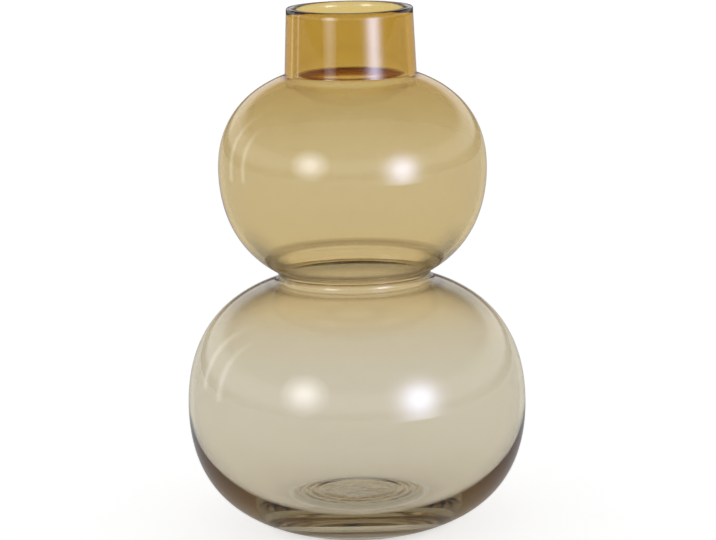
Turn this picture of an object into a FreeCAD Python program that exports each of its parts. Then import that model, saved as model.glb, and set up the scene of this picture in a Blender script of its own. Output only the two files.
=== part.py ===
import FreeCAD, Part
import os
from dataclasses import astuple, dataclass
from FreeCAD import Vector
from Part import ChFi2d

# A double-gourd vase of mouth-blown glass: a straight neck, a small bulb, a pinched waist
# and a large bulb. Two gathers of glass make it, fused face to face. The amber gather is
# the inner bubble, thick in the neck and drawn out thin below the waist. The smoke gather
# lies over it and carries the heavy base. All sizes are in millimetres. The axis of the
# vase is Z, and its ground foot ring stands at Z = 0.

# The outside of the two bulbs: each is an oval of four quarters, and a quarter rises or
# drops from the widest circle
lower_radius = 100.0
lower_rise = 80.0
lower_drop = 77.6
upper_radius = 78.6
upper_rise = 59.8
upper_drop = 71.4

# How full each quarter is: how far its curve's handles reach, as a share of the quarter
lower_rise_share = 0.661
lower_drop_share = 0.675
upper_rise_share = 0.622
upper_drop_share = 0.629

# The waist: how deep the two ovals press into each other, and the rounding between them
bulb_overlap = 9.9
waist_rounding = 4.0

# The neck stands on the shoulder of the upper bulb and tapers to a cut, polished rim
neck_rise = 33.1
neck_foot_radius = 38.2
rim_radius = 36.8
neck_rounding = 2.0
rim_bevel = 0.5

# The ground foot ring, and the pushed-up kick inside it
foot_radius = 45.0
foot_width = 5.0
foot_polish = 0.8
kick_height = 4.0

# The floor inside: a low dome within a ring, with a round chill mark on top
floor_radius = 44.0
floor_rise = 3.5
floor_rounding = 6.0
chill_radius = 22.0
chill_height = 0.5
chill_slope = 1.2

# Thickness of the smoke gather, and how much it widens the roundings of the neck's foot
# and of the waist
smoke_neck = 2.4
smoke_neck_rounding = 4.0
smoke_upper_crown = 3.4
smoke_upper_side = 2.0
smoke_upper_floor = 2.0
smoke_waist_rounding = 2.0
smoke_lower_crown = 2.0
smoke_lower_side = 2.4
smoke_base = 9.7

# Thickness of the amber gather, in the same way
amber_neck = 2.2
amber_neck_rounding = 3.5
amber_upper_crown = 2.2
amber_upper_side = 0.8
amber_upper_floor = 0.8
amber_waist_rounding = 1.0
amber_lower_crown = 0.9
amber_lower_side = 0.4
amber_base = 0.3


@dataclass(frozen=True)
class Wall:
    """How far a surface of the glass lies inside the outer one, at each place."""

    neck: float
    neck_rounding: float
    upper_crown: float
    upper_side: float
    upper_floor: float
    waist_rounding: float
    lower_crown: float
    lower_side: float
    base: float

    def with_lining(self, lining):
        """This wall and a lining inside it, as one wall."""
        return Wall(*map(sum, zip(astuple(self), astuple(lining))))


smoke_wall = Wall(smoke_neck, smoke_neck_rounding, smoke_upper_crown, smoke_upper_side,
                  smoke_upper_floor, smoke_waist_rounding, smoke_lower_crown,
                  smoke_lower_side, smoke_base)
amber_wall = Wall(amber_neck, amber_neck_rounding, amber_upper_crown, amber_upper_side,
                  amber_upper_floor, amber_waist_rounding, amber_lower_crown,
                  amber_lower_side, amber_base)
whole_wall = smoke_wall.with_lining(amber_wall)
no_wall = Wall(*(0 for size in astuple(smoke_wall)))

centre = Vector(0, 0, 0)
upward = Vector(0, 0, 1)
section = Part.Plane(centre, Vector(0, 1, 0))


def at(radius, height):
    """A point of the half section, which is drawn in the XZ plane."""
    return Vector(radius, 0, height)


def quarter(radius, reach, middle, share):
    """A quarter of an oval, from its widest circle up or down to its pole."""
    curve = Part.BezierCurve()
    curve.setPoles([
        at(radius, middle),
        at(radius, middle + reach * share),
        at(radius * share, middle + reach),
        at(0, middle + reach),
    ])
    return curve


def crossing(curve, other):
    """The point of the half section where two curves meet."""
    point = curve.intersectCC(other)[0]
    return at(point.X, point.Z)


def circle_of(curve, radius):
    """The point where a quarter of an oval has the given radius."""
    upright = Part.LineSegment(at(radius, curve.StartPoint.z), at(radius, curve.EndPoint.z))
    return crossing(curve, upright)


def between(curve, start, end):
    """The stretch of a curve between two of its points, as an edge."""
    first, last = sorted([curve.parameter(start), curve.parameter(end)])
    return curve.toShape(first, last)


def add_rounded(edges, following, corner, radius):
    """Add an edge to an outline, with an arc in the corner that it makes."""
    fillet = ChFi2d.FilletAPI(edges[-1], following, section)
    fillet.perform(radius)
    arc, before, after = fillet.result(corner)
    edges[-1:] = [before, arc, after]


def dome(radius, rise, foot, inner, outer):
    """An arc of a low dome on a circle at the foot height, between two radii of the dome."""
    stations = (inner, (inner + outer) / 2, outer)
    points = [at(station, foot + rise * (1 - (station / radius) ** 2)) for station in stations]
    return Part.Arc(*points)


# Heights: the pole of the lower oval is ground away up to the circle of the foot
ground_circle = circle_of(quarter(lower_radius, -lower_drop, 0, lower_drop_share), foot_radius)
lower_middle = -ground_circle.z
upper_middle = lower_middle + lower_rise - bulb_overlap + upper_drop
crown_height = upper_middle + upper_rise
rim_height = crown_height + neck_rise


def lower_quarters(wall):
    """The two quarters of the lower bulb on one surface: below its widest circle and above."""
    radius = lower_radius - wall.lower_side
    drop = wall.base - lower_drop
    rise = lower_rise - wall.lower_crown
    return (quarter(radius, drop, lower_middle, lower_drop_share),
            quarter(radius, rise, lower_middle, lower_rise_share))


def upper_quarters(wall):
    """The two quarters of the upper bulb on one surface: below its widest circle and above."""
    radius = upper_radius - wall.upper_side
    drop = wall.upper_floor - upper_drop
    rise = upper_rise - wall.upper_crown
    return (quarter(radius, drop, upper_middle, upper_drop_share),
            quarter(radius, rise, upper_middle, upper_rise_share))


def foot_edges():
    """The underside of the base: the kick, then the flat ring that is ground to stand on."""
    kick_radius = foot_radius - foot_width
    kick = dome(kick_radius, kick_height, 0, 0, kick_radius)
    ring = Part.makeLine(at(kick_radius, 0), at(foot_radius, 0))
    return [kick.toShape(), ring]


def floor_edges(ring_height):
    """The top of the base: the chill mark, the slope down from it and the dome round it."""
    mark = dome(floor_radius, floor_rise, ring_height + chill_height, 0, chill_radius)
    rest = dome(floor_radius, floor_rise, ring_height, chill_radius + chill_slope, floor_radius)
    slope = Part.makeLine(mark.EndPoint, rest.StartPoint)
    return [mark.toShape(), slope, rest.toShape()]


def wall_outline(edges, wall, start, rounding):
    """Carry a surface's outline on from the given circle of its base to the rim."""
    lower_side = at(lower_radius - wall.lower_side, lower_middle)
    upper_side = at(upper_radius - wall.upper_side, upper_middle)
    rim = at(rim_radius - wall.neck, rim_height)
    neck_foot = at(neck_foot_radius - wall.neck, crown_height)
    lower_below, lower_above = lower_quarters(wall)
    upper_below, upper_above = upper_quarters(wall)
    waist = crossing(lower_above, upper_below)
    shoulder = crossing(upper_above, Part.LineSegment(rim, neck_foot + (neck_foot - rim)))
    add_rounded(edges, between(lower_below, start, lower_side), start, rounding)
    edges.append(between(lower_above, lower_side, waist))
    add_rounded(edges, between(upper_below, waist, upper_side), waist,
                waist_rounding + wall.waist_rounding)
    edges.append(between(upper_above, upper_side, shoulder))
    add_rounded(edges, Part.makeLine(shoulder, rim), shoulder,
                neck_rounding + wall.neck_rounding)
    return edges


def outer_outline():
    """The outside of the vase, from the middle of the kick to the rim."""
    return wall_outline(foot_edges(), no_wall, at(foot_radius, 0), foot_polish)


def inner_outline(wall):
    """A surface inside the glass, from the middle of the floor to the rim."""
    ring = circle_of(lower_quarters(wall)[0], floor_radius)
    return wall_outline(floor_edges(ring.z), wall, ring, floor_rounding)


def gather(outside, inside):
    """The glass between two outlines, turned about the axis of the vase."""
    outer_ends = Part.Wire(outside).OrderedVertexes
    inner_ends = Part.Wire(inside).OrderedVertexes
    rim = Part.makeLine(outer_ends[-1].Point, inner_ends[-1].Point)
    core = Part.makeLine(inner_ends[0].Point, outer_ends[0].Point)
    face = Part.Face(Part.Wire([*outside, rim, *reversed(inside), core]))
    return face.revolve(centre, upward, 360)


def bevelled(glass, radius):
    """A gather with a small ground bevel on its edge of the given radius at the rim."""
    reach = rim_bevel / 2
    edges = [edge for edge in glass.Edges
             if abs(edge.BoundBox.ZMin - rim_height) < reach
             and abs(edge.BoundBox.XMax - radius) < reach]
    return glass.makeChamfer(rim_bevel, edges)


seam = inner_outline(smoke_wall)
cavity = inner_outline(whole_wall)
parts = {
    "smoke_body": bevelled(gather(outer_outline(), seam), rim_radius),
    "amber_lining": bevelled(gather(seam, cavity), rim_radius - whole_wall.neck),
}

os.makedirs("parts", exist_ok=True)
for name, glass in parts.items():
    glass.exportStep(f"parts/{name}.step")
    print(name, "valid" if glass.isValid() else "INVALID", "volume", round(glass.Volume), "mm3")
print("rim at", round(rim_height, 1), "mm")
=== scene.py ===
"""Looks of a double-gourd vase of mouth-blown glass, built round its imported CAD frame.

The vase is made of two gathers of glass. The smoke body is the whole thickness of the
wall, with its heavy base, and bends the light. The amber lining lies in the inner part of
the wall, against the cavity, and only colours the light, since both gathers have the same
refractive index and are fused face to face. All sizes below are in millimetres, as in the
CAD, and meshes are made in metres.
"""

import logging
import math
from collections.abc import Callable
from dataclasses import asdict, dataclass, field
from enum import Enum

import bmesh
import bpy
from mathutils import Matrix, Vector


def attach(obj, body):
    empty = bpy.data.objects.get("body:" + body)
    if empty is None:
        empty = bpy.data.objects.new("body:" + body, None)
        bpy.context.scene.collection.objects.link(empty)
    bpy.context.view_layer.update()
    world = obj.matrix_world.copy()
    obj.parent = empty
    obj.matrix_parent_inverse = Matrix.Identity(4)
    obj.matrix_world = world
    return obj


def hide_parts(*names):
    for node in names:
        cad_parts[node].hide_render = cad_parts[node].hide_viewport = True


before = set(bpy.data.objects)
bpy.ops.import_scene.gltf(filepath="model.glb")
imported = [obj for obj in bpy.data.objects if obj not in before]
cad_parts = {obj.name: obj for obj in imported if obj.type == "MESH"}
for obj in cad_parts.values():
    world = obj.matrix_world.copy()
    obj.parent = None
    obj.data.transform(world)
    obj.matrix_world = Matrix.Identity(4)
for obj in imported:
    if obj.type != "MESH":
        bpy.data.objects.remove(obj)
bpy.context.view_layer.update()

LOG = logging.getLogger("gourd_vase")
MILLIMETRE = 0.001
Colour = tuple[float, float, float]
IMAGE_WIDTH = 716
SENSOR_WIDTH = 36.0


class Slot(Enum):
    """Material slots of the record that the gathers of glass take their finish from."""

    SMOKE = "smoke_glass"
    AMBER = "amber_glass"


# Curves of the half section

@dataclass(frozen=True)
class Quarter:
    """A quarter of an oval, from its widest circle up or down to its pole.

    A point of the half section is a vector of the radius and the height.
    """

    radius: float
    reach: float
    middle: float
    share: float

    def at(self, t: float) -> Vector:
        """Return the point of the curve at a parameter from 0 to 1."""
        s = 1.0 - t
        handle = s ** 3 + 3.0 * s * s * t
        return Vector((
            self.radius * (handle + 3.0 * s * t * t * self.share),
            self.middle + self.reach * (3.0 * s * s * t * self.share + 3.0 * s * t * t + t ** 3),
        ))

    def away(self, t: float, distance: float) -> Vector:
        """Return a point at a distance from the curve, outwards where it is positive."""
        s = 1.0 - t
        inward = self.radius * (6.0 * s * t - self.share * (6.0 * s * t - 3.0 * t * t))
        onward = self.reach * (self.share * (3.0 * s * s - 6.0 * s * t) + 6.0 * s * t)
        side = math.copysign(1.0, self.reach)
        return self.at(t) + Vector((onward, inward)).normalized() * side * distance


@dataclass(frozen=True)
class Straight:
    """A straight run of the half section between two points."""

    start: Vector
    end: Vector

    def at(self, t: float) -> Vector:
        """Return the point at a share of the run."""
        return self.start.lerp(self.end, t)

    def away(self, t: float, distance: float) -> Vector:
        """Return a point at a distance from the run, to the right of its direction."""
        run = (self.end - self.start).normalized()
        return self.at(t) + Vector((run.y, -run.x)) * distance


@dataclass(frozen=True)
class Dome:
    """A low dome on the axis, from an inner radius to an outer one."""

    radius: float
    rise: float
    foot: float
    ring_depth: float = 0.0
    ring_width: float = 1.0

    def at(self, t: float) -> Vector:
        """Return the point at a share of the dome's radius."""
        reach = self.radius * t
        ring = self.ring_depth * math.sin(math.tau * reach / self.ring_width)
        return Vector((reach, self.foot + self.rise * (1.0 - t * t) + ring * (1.0 - t)))

    def away(self, t: float, distance: float) -> Vector:
        """Return a point at a distance above the dome."""
        slope = -2.0 * self.rise * t / self.radius
        return self.at(t) + Vector((-slope, 1.0)).normalized() * distance


Curve = Quarter | Straight | Dome
Route = Callable[[float], Vector]

# How a meeting point is searched for: the step that measures a route's direction, the number
# of rounds, the furthest that a parameter moves in one, and the stages in which the arc of a
# corner grows to its radius
PROBE = 1e-3
ROUNDS = 40
FURTHEST = 0.1
GROWTH = 8


def meeting(first: Route, second: Route, t: float, s: float) -> tuple[float, float]:
    """Find where two routes of the half section meet.

    Args:
        first: the first route, a function of its parameter.
        second: the second route.
        t: a guess for the parameter of the first.
        s: a guess for the parameter of the second.

    Returns:
        The two parameters at the meeting point.
    """
    for _ in range(ROUNDS):
        gap = second(s) - first(t)
        along = (first(t + PROBE) - first(t - PROBE)) / (2.0 * PROBE)
        across = (second(s + PROBE) - second(s - PROBE)) / (2.0 * PROBE)
        turn = Matrix(((along.x, -across.x), (along.y, -across.y)))
        change = turn.inverted() @ gap
        t += max(-FURTHEST, min(FURTHEST, change.x))
        s += max(-FURTHEST, min(FURTHEST, change.y))
    return t, s


def corner(first: Curve, second: Curve, distance: float, t: float,
           s: float) -> tuple[float, float]:
    """Find where an arc of a corner touches the two curves that meet there.

    Args:
        first: the curve before the corner.
        second: the curve after it.
        distance: radius of the arc, negative where its centre lies inwards.
        t: a guess for the parameter of the first curve at the corner.
        s: a guess for the parameter of the second.

    Returns:
        The parameters of the two curves where the arc touches them.
    """
    for stage in range(GROWTH + 1):
        reach = distance * stage / GROWTH
        t, s = meeting(lambda p: first.away(p, reach), lambda p: second.away(p, reach), t, s)
    return t, s


@dataclass
class Outline:
    """A surface of the glass in the half section, carried on from curve to curve."""

    points: list[Vector] = field(default_factory=list)

    def run(self, curve: Curve, start: float, end: float, steps: int) -> None:
        """Add a stretch of a curve.

        Args:
            curve: the curve to follow.
            start: parameter where the stretch starts.
            end: parameter where it ends.
            steps: number of steps from one to the other.
        """
        for step in range(steps + 1):
            self.add(curve.at(start + (end - start) * step / steps))

    def arc(self, centre: Vector, start: Vector, end: Vector, steps: int) -> None:
        """Add a round corner.

        Args:
            centre: centre of the arc.
            start: where the arc leaves the curve before it.
            end: where it meets the curve after it.
            steps: number of steps from one to the other.
        """
        first = start - centre
        turn = first.angle_signed(end - centre)
        for step in range(steps + 1):
            self.add(centre + Matrix.Rotation(-turn * step / steps, 2) @ first)

    def add(self, point: Vector) -> None:
        """Add a point, unless the outline is there already."""
        if not self.points or (point - self.points[-1]).length > 1e-3:
            self.points.append(point)


@dataclass(frozen=True)
class Wall:
    """How far a surface lies inside the outer surface of the glass, at each place."""

    neck: float = 0.0
    neck_rounding: float = 0.0
    upper_crown: float = 0.0
    upper_side: float = 0.0
    upper_floor: float = 0.0
    waist_rounding: float = 0.0
    lower_crown: float = 0.0
    lower_side: float = 0.0
    base: float = 0.0

    def within(self, skin: float) -> "Wall":
        """Return a surface that lies a skin's thickness nearer to the outside."""
        sizes = {name: size - (0.0 if name.endswith("rounding") else skin)
                 for name, size in asdict(self).items()}
        return Wall(**sizes)


@dataclass(frozen=True)
class Steps:
    """Number of steps that each stretch of an outline is drawn in."""

    kick: int = 20
    foot: int = 3
    polish: int = 4
    mark: int = 14
    floor: int = 44
    floor_corner: int = 8
    lower_below: int = 44
    lower_above: int = 34
    waist: int = 14
    upper_below: int = 32
    upper_above: int = 30
    neck_foot: int = 12
    neck: int = 10


@dataclass
class VaseForm:
    """The form of the vase: the same named sizes as in the CAD, and its surfaces."""

    lower_radius: float = 100.0
    lower_rise: float = 80.0
    lower_drop: float = 77.6
    upper_radius: float = 78.6
    upper_rise: float = 59.8
    upper_drop: float = 71.4
    lower_rise_share: float = 0.661
    lower_drop_share: float = 0.675
    upper_rise_share: float = 0.622
    upper_drop_share: float = 0.629
    bulb_overlap: float = 9.9
    waist_rounding: float = 4.0
    neck_rise: float = 33.1
    neck_foot_radius: float = 38.2
    rim_radius: float = 36.8
    neck_rounding: float = 2.0
    rim_bevel: float = 0.5
    foot_radius: float = 45.0
    foot_width: float = 5.0
    foot_polish: float = 0.8
    kick_height: float = 4.0
    floor_radius: float = 44.0
    floor_rise: float = 3.5
    floor_rounding: float = 6.0
    chill_radius: float = 22.0
    chill_height: float = 0.5
    chill_slope: float = 1.2
    ring_depth: float = 1.4
    ring_width: float = 5.2
    steps: Steps = Steps()
    outside: Wall = Wall()
    seam: Wall = Wall(neck=2.4, neck_rounding=4.0, upper_crown=3.4, upper_side=2.0,
                      upper_floor=2.0, waist_rounding=2.0, lower_crown=2.0, lower_side=2.4,
                      base=9.7)
    cavity: Wall = Wall(neck=4.6, neck_rounding=7.5, upper_crown=5.6, upper_side=2.8,
                        upper_floor=2.8, waist_rounding=3.0, lower_crown=2.9, lower_side=2.8,
                        base=10.0)

    def __post_init__(self) -> None:
        """Work out the heights, from the foot ring up."""
        oval = Quarter(self.lower_radius, -self.lower_drop, 0.0, self.lower_drop_share)
        self.ground = self.crossing_radius(oval, self.foot_radius)
        self.lower_middle = -oval.at(self.ground).y
        self.upper_middle = (self.lower_middle + self.lower_rise - self.bulb_overlap
                             + self.upper_drop)
        self.crown_height = self.upper_middle + self.upper_rise
        self.rim_height = self.crown_height + self.neck_rise

    @staticmethod
    def crossing_radius(curve: Quarter, radius: float) -> float:
        """Return the parameter where a quarter of an oval has the given radius."""
        upright = Straight(Vector((radius, curve.middle)),
                           Vector((radius, curve.middle + curve.reach)))
        return meeting(curve.at, upright.at, 0.7, 0.7)[0]

    def lower_below(self, wall: Wall) -> Quarter:
        """Return the lower bulb's quarter below its widest circle."""
        return Quarter(self.lower_radius - wall.lower_side, wall.base - self.lower_drop,
                       self.lower_middle, self.lower_drop_share)

    def lower_above(self, wall: Wall) -> Quarter:
        """Return the lower bulb's quarter above its widest circle."""
        return Quarter(self.lower_radius - wall.lower_side, self.lower_rise - wall.lower_crown,
                       self.lower_middle, self.lower_rise_share)

    def upper_below(self, wall: Wall) -> Quarter:
        """Return the upper bulb's quarter below its widest circle."""
        return Quarter(self.upper_radius - wall.upper_side, wall.upper_floor - self.upper_drop,
                       self.upper_middle, self.upper_drop_share)

    def upper_above(self, wall: Wall) -> Quarter:
        """Return the upper bulb's quarter above its widest circle."""
        return Quarter(self.upper_radius - wall.upper_side, self.upper_rise - wall.upper_crown,
                       self.upper_middle, self.upper_rise_share)

    def carry_on(self, outline: Outline, wall: Wall, start: float, top: float) -> None:
        """Carry a surface's outline on from its base to the rim.

        Args:
            outline: the outline, which ends at the start of the lower bulb.
            wall: which surface it is.
            start: parameter on the lower bulb's lower quarter where its wall starts.
            top: height where the neck ends.
        """
        below, above = self.lower_below(wall), self.lower_above(wall)
        under, over = self.upper_below(wall), self.upper_above(wall)
        outline.run(below, start, 0.0, self.steps.lower_below)
        radius = self.waist_rounding + wall.waist_rounding
        t, s = corner(above, under, radius, 0.75, 0.75)
        outline.run(above, 0.0, t, self.steps.lower_above)
        outline.arc(above.away(t, radius), above.at(t), under.at(s), self.steps.waist)
        outline.run(under, s, 0.0, self.steps.upper_below)
        foot = Vector((self.neck_foot_radius - wall.neck, self.crown_height))
        rim = Vector((self.rim_radius - wall.neck, self.rim_height))
        neck = Straight(foot + (foot - rim), rim)
        radius = self.neck_rounding + wall.neck_rounding
        t, s = corner(over, neck, radius, 0.7, 0.5)
        outline.run(over, 0.0, t, self.steps.upper_above)
        outline.arc(over.away(t, radius), over.at(t), neck.at(s), self.steps.neck_foot)
        end = (top - neck.start.y) / (neck.end.y - neck.start.y)
        outline.run(neck, s, end, self.steps.neck)

    def outer(self) -> Outline:
        """Return the outside of the vase, from the middle of its kick to the rim."""
        outline = Outline()
        kick_radius = self.foot_radius - self.foot_width
        outline.run(Dome(kick_radius, self.kick_height, 0.0), 0.0, 1.0, self.steps.kick)
        below = self.lower_below(self.outside)
        ring = Straight(Vector((kick_radius, 0.0)), Vector((2.0 * self.foot_radius, 0.0)))
        t, s = meeting(lambda p: ring.away(p, -self.foot_polish),
                       lambda p: below.away(p, -self.foot_polish), 0.1, self.ground)
        outline.run(ring, 0.0, t, self.steps.foot)
        outline.arc(ring.away(t, -self.foot_polish), ring.at(t), below.at(s),
                    self.steps.polish)
        self.carry_on(outline, self.outside, s, self.rim_height - self.rim_bevel)
        outline.add(Vector((self.rim_radius - self.rim_bevel, self.rim_height)))
        return outline

    def inner(self, wall: Wall, depth: float = 0.0) -> Outline:
        """Return a surface inside the glass, from the middle of the floor to the rim.

        Args:
            wall: which surface it is.
            depth: how far below the rim's flat top the outline ends, or none for a surface
                that meets the rim, which then has its small bevel.

        Returns:
            The outline.
        """
        outline = Outline()
        below = self.lower_below(wall)
        ring = below.at(self.crossing_radius(below, self.floor_radius)).y
        mark = Dome(self.floor_radius, self.floor_rise, ring + self.chill_height)
        rest = Dome(self.floor_radius, self.floor_rise, ring, self.ring_depth, self.ring_width)
        outline.run(mark, 0.0, self.chill_radius / self.floor_radius, self.steps.mark)
        radius = self.floor_rounding
        t, s = meeting(lambda p: rest.away(p, radius), lambda p: below.away(p, -radius),
                       0.9, self.crossing_radius(below, self.floor_radius))
        outline.run(rest, (self.chill_radius + self.chill_slope) / self.floor_radius, t,
                    self.steps.floor)
        outline.arc(rest.away(t, radius), rest.at(t), below.at(s), self.steps.floor_corner)
        if depth:
            self.carry_on(outline, wall, s, self.rim_height - depth)
        else:
            self.carry_on(outline, wall, s, self.rim_height - self.rim_bevel)
            outline.add(Vector((self.rim_radius - wall.neck + self.rim_bevel, self.rim_height)))
        return outline


# Finishes

class Graph:
    """A small hand for a node tree: it adds nodes and joins their sockets."""

    def __init__(self, tree: bpy.types.NodeTree) -> None:
        """Take a node tree and empty it."""
        self.tree = tree
        tree.nodes.clear()

    def node(self, kind: str, inputs: dict[str | int, object] | None = None,
             **settings: object) -> bpy.types.Node:
        """Add a node.

        Args:
            kind: the node's type name, without its ShaderNode beginning.
            inputs: input sockets by name or number, each a value or an output to join.
            settings: other properties of the node.

        Returns:
            The node.
        """
        node = self.tree.nodes.new(f"ShaderNode{kind}")
        for name, value in settings.items():
            setattr(node, name, value)
        for name, value in (inputs or {}).items():
            if isinstance(value, bpy.types.NodeSocket):
                self.tree.links.new(value, node.inputs[name])
            else:
                node.inputs[name].default_value = value
        return node

    def math(self, operation: str, first: object, second: object = 0.0) -> bpy.types.NodeSocket:
        """Add a Math node and return its output."""
        return self.node("Math", {0: first, 1: second}, operation=operation).outputs[0]

    def ramp(self, factor: object,
             stops: tuple[tuple[float, Colour], ...]) -> bpy.types.NodeSocket:
        """Add a Color Ramp.

        Args:
            factor: the value it reads.
            stops: places from 0 to 1 and their colours.

        Returns:
            Its colour output.
        """
        node = self.node("ValToRGB", {"Fac": factor})
        elements = node.color_ramp.elements
        while len(elements) > 1:
            elements.remove(elements[-1])
        for number, (place, colour) in enumerate(stops):
            element = elements[0] if number == 0 else elements.new(place)
            element.position = place
            element.color = (*colour, 1.0)
        return node.outputs["Color"]

    def by_ray(self, seen: float, mirrored: object, other: float) -> bpy.types.NodeSocket:
        """Add a level that depends on the kind of ray.

        Args:
            seen: level for a ray of the camera or through glass.
            mirrored: level for a ray that gloss reflects.
            other: level for all other light.

        Returns:
            Its output.
        """
        path = self.node("LightPath")
        through = self.math("MAXIMUM", path.outputs["Is Camera Ray"],
                            path.outputs["Is Transmission Ray"])
        glossy = self.math("MULTIPLY", path.outputs["Is Glossy Ray"],
                           self.math("SUBTRACT", 1.0, through))
        level = self.math("ADD", self.math("MULTIPLY", through, seen - other),
                          self.math("MULTIPLY", glossy, self.math("SUBTRACT", mirrored, other)))
        return self.math("ADD", level, other)


@dataclass(frozen=True)
class GlassFinish:
    """A gather of glass: how it bends light, soaks it up, and is tinted up its height.

    Stops may hold painted shade, as the smoke gather's two dark bands near the waist do,
    and the waist shade is painted shade too: a dark colour multiplied in where the waist is
    seen at a grazing angle. Heights in the stops and the painted shade are shares of the
    vase's height. Sizes of the ripple and the grain are in millimetres.
    """

    name: str
    index: float
    soak_colour: Colour
    soak_density: float
    # Stops of colour up the height; they may hold painted shade, as the smoke gather's two dark
    # bands near the waist do
    tint_and_painted_shade_stops: tuple[tuple[float, Colour], ...]
    ripple: float = 0.0
    ripple_scale: float = 14.0
    grain: float = 0.0
    grain_radius: float = 24.0
    grain_fade: float = 3.0
    grain_height: float = 20.0
    grain_scale: float = 260.0
    spot_scale: float = 70.0
    spot_edge: tuple[float, float] = (0.46, 0.56)
    # Painted shade: a dark colour multiplied in near the waist where the glass is seen at a grazing
    # angle, over the grazing range and heights below
    painted_waist_shade: Colour | None = None
    painted_shade_grazing: tuple[float, float] = (0.44, 0.80)
    painted_shade_heights: tuple[float, float, float, float] = (0.38, 0.46, 0.525, 0.59)

    def material(self, height: float) -> bpy.types.Material:
        """Build the glass.

        Args:
            height: height of the vase in metres, over which the stops of colour and painted shade
                are spread.

        Returns:
            The material.
        """
        material = bpy.data.materials.new(self.name)
        material.use_nodes = True
        graph = Graph(material.node_tree)
        place = graph.node("TexCoord").outputs["Object"]
        rise = graph.node("SeparateXYZ", {0: place}).outputs["Z"]
        share = graph.math("DIVIDE", rise, height)
        tint_and_painted_shade = graph.ramp(share, self.tint_and_painted_shade_stops)
        # Painted shade: near the waist, where the glass is seen at a grazing angle, the colour is
        # multiplied by a dark bluish grey
        if self.painted_waist_shade:
            tint_and_painted_shade = graph.node("Mix", {0: self.painted_shade_amount(graph, share), 6: tint_and_painted_shade,
                                      7: (*self.painted_waist_shade, 1.0)},
                              data_type="RGBA", blend_type="MULTIPLY").outputs[2]
        body = graph.node("BsdfPrincipled", {
            "Base Color": tint_and_painted_shade, "Roughness": 0.0, "IOR": self.index, "Transmission Weight": 1.0,
        })
        if self.ripple:
            waves = graph.node("TexNoise", {"Vector": place, "Scale": self.ripple_scale,
                                            "Detail": 1.0, "Roughness": 0.4}).outputs[0]
            ripples = graph.node("Bump", {"Height": waves, "Strength": 1.0,
                                          "Distance": self.ripple * MILLIMETRE})
            patch = self.chill_patch(graph, place)
            bump = graph.node("Bump", {"Height": patch, "Strength": 1.0,
                                       "Distance": self.grain * MILLIMETRE,
                                       "Normal": ripples.outputs[0]})
            graph.tree.links.new(bump.outputs[0], body.inputs["Normal"])
        soak = graph.node("VolumeAbsorption", {"Color": (*self.soak_colour, 1.0),
                                               "Density": self.soak_density})
        graph.node("OutputMaterial", {"Surface": body.outputs[0], "Volume": soak.outputs[0]})
        return material

    def painted_shade_amount(self, graph: Graph, share: bpy.types.NodeSocket) -> bpy.types.NodeSocket:
        """Return where the shade is painted: how much a place is near the waist and seen at a
        grazing angle.
        """
        start, full, fading, end = self.painted_shade_heights
        low, high = self.painted_shade_grazing
        facing = graph.node("LayerWeight", {"Blend": 0.5}).outputs["Facing"]
        amount = graph.node("MapRange", {"Value": facing, "From Min": low, "From Max": high},
                            interpolation_type="SMOOTHSTEP").outputs[0]
        for first, last in ((start, full), (end, fading)):
            near = graph.node("MapRange", {"Value": share, "From Min": first, "From Max": last},
                              interpolation_type="SMOOTHSTEP").outputs[0]
            amount = graph.math("MULTIPLY", amount, near)
        return amount

    def chill_patch(self, graph: Graph, place: bpy.types.NodeSocket) -> bpy.types.NodeSocket:
        """Return the rough grain of the chill mark, which fades out at its edge."""
        part = graph.node("SeparateXYZ", {0: place})
        flat = graph.node("CombineXYZ", {0: part.outputs["X"], 1: part.outputs["Y"]})
        reach = graph.node("VectorMath", {0: flat.outputs[0]}, operation="LENGTH")
        within = graph.node("MapRange", {
            "Value": reach.outputs["Value"], "From Min": self.grain_radius * MILLIMETRE,
            "From Max": (self.grain_radius - self.grain_fade) * MILLIMETRE},
            interpolation_type="SMOOTHSTEP")
        low = graph.math("LESS_THAN", part.outputs["Z"], self.grain_height * MILLIMETRE)
        rough = graph.node("TexNoise", {"Vector": place, "Scale": self.grain_scale,
                                        "Detail": 3.0, "Roughness": 0.6}).outputs[0]
        broad = graph.node("TexNoise", {"Vector": place, "Scale": self.spot_scale,
                                        "Detail": 1.0}).outputs[0]
        start, full = self.spot_edge
        spots = graph.node("MapRange", {"Value": broad, "From Min": start, "From Max": full},
                           interpolation_type="SMOOTHSTEP")
        grain = graph.math("MULTIPLY", rough, spots.outputs[0])
        return graph.math("MULTIPLY", grain, graph.math("MULTIPLY", within.outputs[0], low))


# Pieces

def finished(name: str, shape: bmesh.types.BMesh, material: bpy.types.Material,
             smooth: bool = True) -> bpy.types.Object:
    """Make a piece from its mesh, at the origin, with its faces turned outwards.

    Args:
        name: name of the piece.
        shape: its mesh, which is freed.
        material: its finish.
        smooth: whether its faces are shaded smooth.

    Returns:
        The object.
    """
    mesh = bpy.data.meshes.new(name)
    shape.to_mesh(mesh)
    shape.free()
    mesh.materials.append(material)
    mesh.polygons.foreach_set("use_smooth", [smooth] * len(mesh.polygons))
    piece = bpy.data.objects.new(name, mesh)
    bpy.context.scene.collection.objects.link(piece)
    return piece


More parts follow.
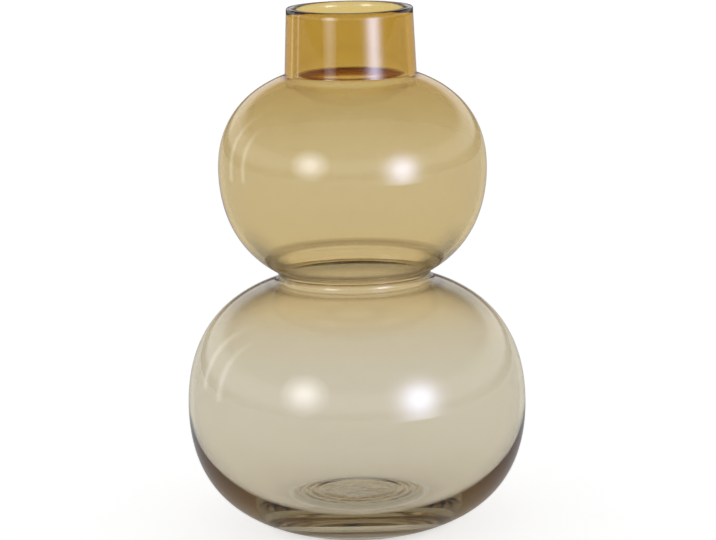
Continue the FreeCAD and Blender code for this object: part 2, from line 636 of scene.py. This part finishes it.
def turned(outside: Outline, inside: Outline, segments: int) -> bmesh.types.BMesh:
    """Turn the glass between two outlines about the axis of the vase.

    Args:
        outside: the outer outline, from the axis to the rim.
        inside: the inner outline, from the axis to the rim.
        segments: steps of a full turn.

    Returns:
        The closed shell.
    """
    shape = bmesh.new()
    route = [*outside.points, *reversed(inside.points)]
    corners = [shape.verts.new((p.x * MILLIMETRE, 0.0, p.y * MILLIMETRE)) for p in route]
    edges = [shape.edges.new(pair) for pair in zip(corners, corners[1:])]
    sector = math.tau / 16.0
    bmesh.ops.spin(shape, geom=[*corners, *edges], cent=(0.0, 0.0, 0.0), axis=(0.0, 0.0, 1.0),
                   angle=sector, steps=segments // 16)
    while sector < math.tau:
        made = bmesh.ops.duplicate(shape, geom=[*shape.verts, *shape.edges, *shape.faces])
        bmesh.ops.rotate(shape, cent=(0.0, 0.0, 0.0), matrix=Matrix.Rotation(sector, 3, "Z"),
                         verts=[v for v in made["geom"] if isinstance(v, bmesh.types.BMVert)])
        sector *= 2.0
    bmesh.ops.remove_doubles(shape, verts=shape.verts, dist=1e-6)
    bmesh.ops.recalc_face_normals(shape, faces=shape.faces)
    return shape


@dataclass
class SmokeBody:
    """The smoke gather, with the heavy base and the foot ring."""

    form: VaseForm
    finish: GlassFinish
    segments: int = 192

    def build(self) -> bpy.types.Object:
        """Turn the body, dress it and set it in the place of its CAD node."""
        shape = turned(self.form.outer(), self.form.inner(self.form.cavity), self.segments)
        piece = finished("smoke_body_glass", shape,
                         self.finish.material(self.form.rim_height * MILLIMETRE))
        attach(piece, "root")
        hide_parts("smoke_body")
        return piece


@dataclass
class AmberLining:
    """The amber gather, fused inside the smoke one."""

    form: VaseForm
    finish: GlassFinish
    segments: int = 192
    skin: float = 0.03

    def build(self) -> bpy.types.Object:
        """Turn the lining, dress it and set it in the place of its CAD node."""
        inside = self.form.cavity.within(self.skin)
        shape = turned(self.form.inner(self.form.seam, self.skin),
                       self.form.inner(inside, self.skin), self.segments)
        piece = finished("amber_lining_glass", shape,
                         self.finish.material(self.form.rim_height * MILLIMETRE))
        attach(piece, "root")
        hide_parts("amber_lining")
        return piece


# Studio

@dataclass
class StudioLamp:
    """A round soft light with a bright middle that fades towards its edge."""

    name: str
    place: tuple[float, float, float]
    radius: float
    middle: float
    strength: float
    colour: Colour
    narrow: float = 1.0
    aim: tuple[float, float, float] = (0.0, 0.0, 0.17)
    segments: int = 64

    def build(self) -> bpy.types.Object:
        """Make the lamp's disc and turn it towards the vase."""
        shape = bmesh.new()
        bmesh.ops.create_circle(shape, cap_ends=True, segments=self.segments,
                                radius=self.radius)
        material = bpy.data.materials.new(self.name)
        material.use_nodes = True
        graph = Graph(material.node_tree)
        place = graph.node("TexCoord").outputs["Object"]
        reach = graph.node("VectorMath", {0: place}, operation="LENGTH").outputs["Value"]
        share = graph.math("DIVIDE", reach, self.middle)
        fade = graph.math("EXPONENT", graph.math("MULTIPLY", graph.math("POWER", share, 2.0), -1.0))
        front = graph.math("SUBTRACT", 1.0, graph.node("NewGeometry").outputs["Backfacing"])
        light = graph.math("MULTIPLY", graph.math("MULTIPLY", fade, front), self.strength)
        glow = graph.node("Emission", {"Color": (*self.colour, 1.0), "Strength": light})
        clear = graph.node("BsdfTransparent")
        both = graph.node("AddShader", {0: glow.outputs[0], 1: clear.outputs[0]})
        graph.node("OutputMaterial", {"Surface": both.outputs[0]})
        lamp = finished(self.name, shape, material, smooth=False)
        lamp.location = self.place
        aim = Vector(self.aim) - Vector(self.place)
        lamp.rotation_mode = "QUATERNION"
        lamp.rotation_quaternion = aim.to_track_quat("Z", "Y")
        lamp.scale = (self.narrow, 1.0, 1.0)
        # Only gloss shows the lamp: seen through the glass or lighting the floor, it would
        # draw a bright band behind the vase
        lamp.visible_camera = False
        lamp.visible_diffuse = False
        lamp.visible_transmission = False
        return lamp


@dataclass
class Studio:
    """The pale floor, the soft lamps, the white surroundings and the camera."""

    floor_radius: float = 6.0
    floor_segments: int = 96
    floor_colour: Colour = (0.5, 0.5, 0.5)
    floor_glow: float = 0.73
    # Painted shadow under the vase: where it starts to lift, where it is gone, and the share of
    # glow left in it
    painted_shadow_radius: float = 0.030
    painted_shadow_outer_radius: float = 0.062
    painted_shadow_level: float = 0.55
    room_light: float = 0.6
    mirror_level: float = 0.15
    ring_level: float = 0.8
    ring_heights: tuple[float, float, float, float] = (0.04, 0.12, 0.26, 0.42)
    target: tuple[float, float, float] = (0.00206, 0.0, 0.1518)
    distance: float = 1.679
    elevation: float = 11.3
    roll: float = 0.0195
    focal_pixels: float = 2850.0
    glass_bounces: int = 96
    floor_bounces: int = 4

    def floor(self) -> bpy.types.Object:
        """Make the pale floor, which keeps the vase's shadow, with a painted shadow as well: its
        glow is dimmed under and round the vase.
        """
        shape = bmesh.new()
        bmesh.ops.create_circle(shape, cap_ends=True, segments=self.floor_segments,
                                radius=self.floor_radius)
        material = bpy.data.materials.new("studio_floor")
        material.use_nodes = True
        graph = Graph(material.node_tree)
        matt = graph.node("BsdfDiffuse", {"Color": (*self.floor_colour, 1.0)})
        reach = graph.node("VectorMath", {0: graph.node("TexCoord").outputs["Object"]},
                           operation="LENGTH").outputs["Value"]
        # Painted shadow: the floor's glow is dimmed under the vase and comes back to full a little
        # way round it
        painted_shadow_factor = graph.node("MapRange", {
            "Value": reach, "From Min": self.painted_shadow_radius, "From Max": self.painted_shadow_outer_radius,
            "To Min": self.painted_shadow_level}, interpolation_type="SMOOTHSTEP").outputs[0]
        glow = graph.node("Emission", {"Strength": graph.math(
            "MULTIPLY", graph.by_ray(self.floor_glow, self.mirror_level, 0.0), painted_shadow_factor)})
        both = graph.node("AddShader", {0: matt.outputs[0], 1: glow.outputs[0]})
        graph.node("OutputMaterial", {"Surface": both.outputs[0]})
        floor = finished("studio_floor", shape, material, smooth=False)
        return floor

    def surroundings(self) -> None:
        """Light the room evenly, white behind the vase, with a paler ring that gloss shows."""
        world = bpy.data.worlds.new("studio_room")
        world.use_nodes = True
        graph = Graph(world.node_tree)
        rise = graph.node("SeparateXYZ", {0: graph.node("TexCoord").outputs["Generated"]})
        start, full, fading, end = self.ring_heights
        above = graph.node("MapRange", {"Value": rise.outputs["Z"], "From Min": start,
                                        "From Max": full}, interpolation_type="SMOOTHSTEP")
        below = graph.node("MapRange", {"Value": rise.outputs["Z"], "From Min": end,
                                        "From Max": fading}, interpolation_type="SMOOTHSTEP")
        ring = graph.math("MULTIPLY", above.outputs[0], below.outputs[0])
        mirrored = graph.math("ADD", graph.math("MULTIPLY", ring, self.ring_level),
                              self.mirror_level)
        strength = graph.by_ray(1.0, mirrored, self.room_light)
        room = graph.node("Background", {"Color": (1.0, 1.0, 1.0, 1.0), "Strength": strength})
        graph.node("OutputWorld", {"Surface": room.outputs[0]})
        bpy.context.scene.world = world

    def camera(self) -> bpy.types.Object:
        """Set the camera at the photograph's viewing angle."""
        tilt = math.radians(self.elevation)
        back = Vector((0.0, -math.cos(tilt), math.sin(tilt)))
        target = Vector(self.target)
        place = Vector((0.0, 0.0, target.z)) + back * self.distance
        back = (place - target).normalized()
        right = Vector((0.0, 0.0, 1.0)).cross(back).normalized()
        up = back.cross(right)
        turn = Matrix.Rotation(-self.roll, 3, "Z")
        axes = Matrix((right, up, back)).transposed() @ turn
        data = bpy.data.cameras.new("camera")
        data.sensor_width = SENSOR_WIDTH
        data.lens = self.focal_pixels * SENSOR_WIDTH / IMAGE_WIDTH
        camera = bpy.data.objects.new("camera", data)
        camera.matrix_world = Matrix.Translation(place) @ axes.to_4x4()
        bpy.context.scene.collection.objects.link(camera)
        bpy.context.scene.camera = camera
        return camera

    def lamps(self) -> list[bpy.types.Object]:
        """Set up two soft lamps in front of the vase and two tall strips at its left."""
        return [
            StudioLamp("key_lamp", (0.916, -1.030, 0.339), 0.75, 0.31, 16.4,
                       (0.68, 0.73, 1.0)).build(),
            StudioLamp("fill_lamp", (-0.872, -1.200, 0.544), 0.47, 0.30, 9.4,
                       (0.92, 0.93, 1.0)).build(),
            StudioLamp("near_strip", (-1.164, 0.290, 0.30), 1.1, 0.50, 1.8,
                       (0.95, 0.97, 1.0), narrow=0.12).build(),
            StudioLamp("far_strip", (-1.006, 0.654, 0.30), 1.1, 0.50, 1.2,
                       (0.95, 0.97, 1.0), narrow=0.12).build(),
        ]

    def settle(self) -> None:
        """Set how the scene is shown and how often light may pass through glass."""
        scene = bpy.context.scene
        scene.view_settings.view_transform = "Standard"
        scene.cycles.max_bounces = self.glass_bounces
        scene.cycles.transmission_bounces = self.glass_bounces
        scene.cycles.glossy_bounces = self.glass_bounces
        scene.cycles.diffuse_bounces = self.floor_bounces


# Smoke stops: the glass's own colour up its height, except two dark bands near the waist, at
# 0.4710-0.4725 and 0.5120-0.5145, which are painted shade standing for dark lines that the thick
# glass there shows by refraction. The darkening at grazing angles near the waist is painted shade
# too.
SMOKE = GlassFinish(
    name="smoke_glass", index=1.5, soak_colour=(0.33, 0.21, 0.0), soak_density=12.0,
    tint_and_painted_shade_stops=((0.0, (0.80, 0.775, 0.72)), (0.40, (0.795, 0.77, 0.715)),
                (0.4685, (0.785, 0.755, 0.69)), (0.4710, (0.34, 0.27, 0.17)),
                (0.4725, (0.34, 0.27, 0.17)), (0.4750, (0.785, 0.755, 0.69)),
                (0.5095, (0.785, 0.755, 0.69)), (0.5120, (0.27, 0.21, 0.12)),
                (0.5145, (0.27, 0.21, 0.12)), (0.5180, (0.785, 0.755, 0.69)),
                (1.0, (0.785, 0.755, 0.69))),
    ripple=0.035, grain=0.5, painted_waist_shade=(0.13, 0.15, 0.21))
AMBER = GlassFinish(
    name="amber_glass", index=1.0, soak_colour=(0.85, 0.66, 0.0), soak_density=190.0,
    tint_and_painted_shade_stops=((0.0, (1.0, 1.0, 1.0)), (0.36, (1.0, 1.0, 1.0)), (0.41, (1.0, 0.975, 0.93)),
                (0.45, (1.0, 0.91, 0.72)), (0.49, (1.0, 0.91, 0.72)), (0.54, (1.0, 0.95, 0.80)),
                (0.70, (1.0, 0.955, 0.83)), (0.853, (0.99, 0.94, 0.81)),
                (0.89, (0.95, 0.83, 0.46)), (1.0, (0.95, 0.83, 0.46))))


def main() -> None:
    """Build the vase and its studio."""
    logging.basicConfig(level=logging.INFO, format="%(name)s: %(message)s")
    form = VaseForm()
    for maker in (SmokeBody(form, SMOKE), AmberLining(form, AMBER)):
        piece = maker.build()
        LOG.info("%s: %d faces", piece.name, len(piece.data.polygons))
    studio = Studio()
    studio.floor()
    studio.surroundings()
    studio.camera()
    studio.lamps()
    studio.settle()


if __name__ == "__main__":
    main()
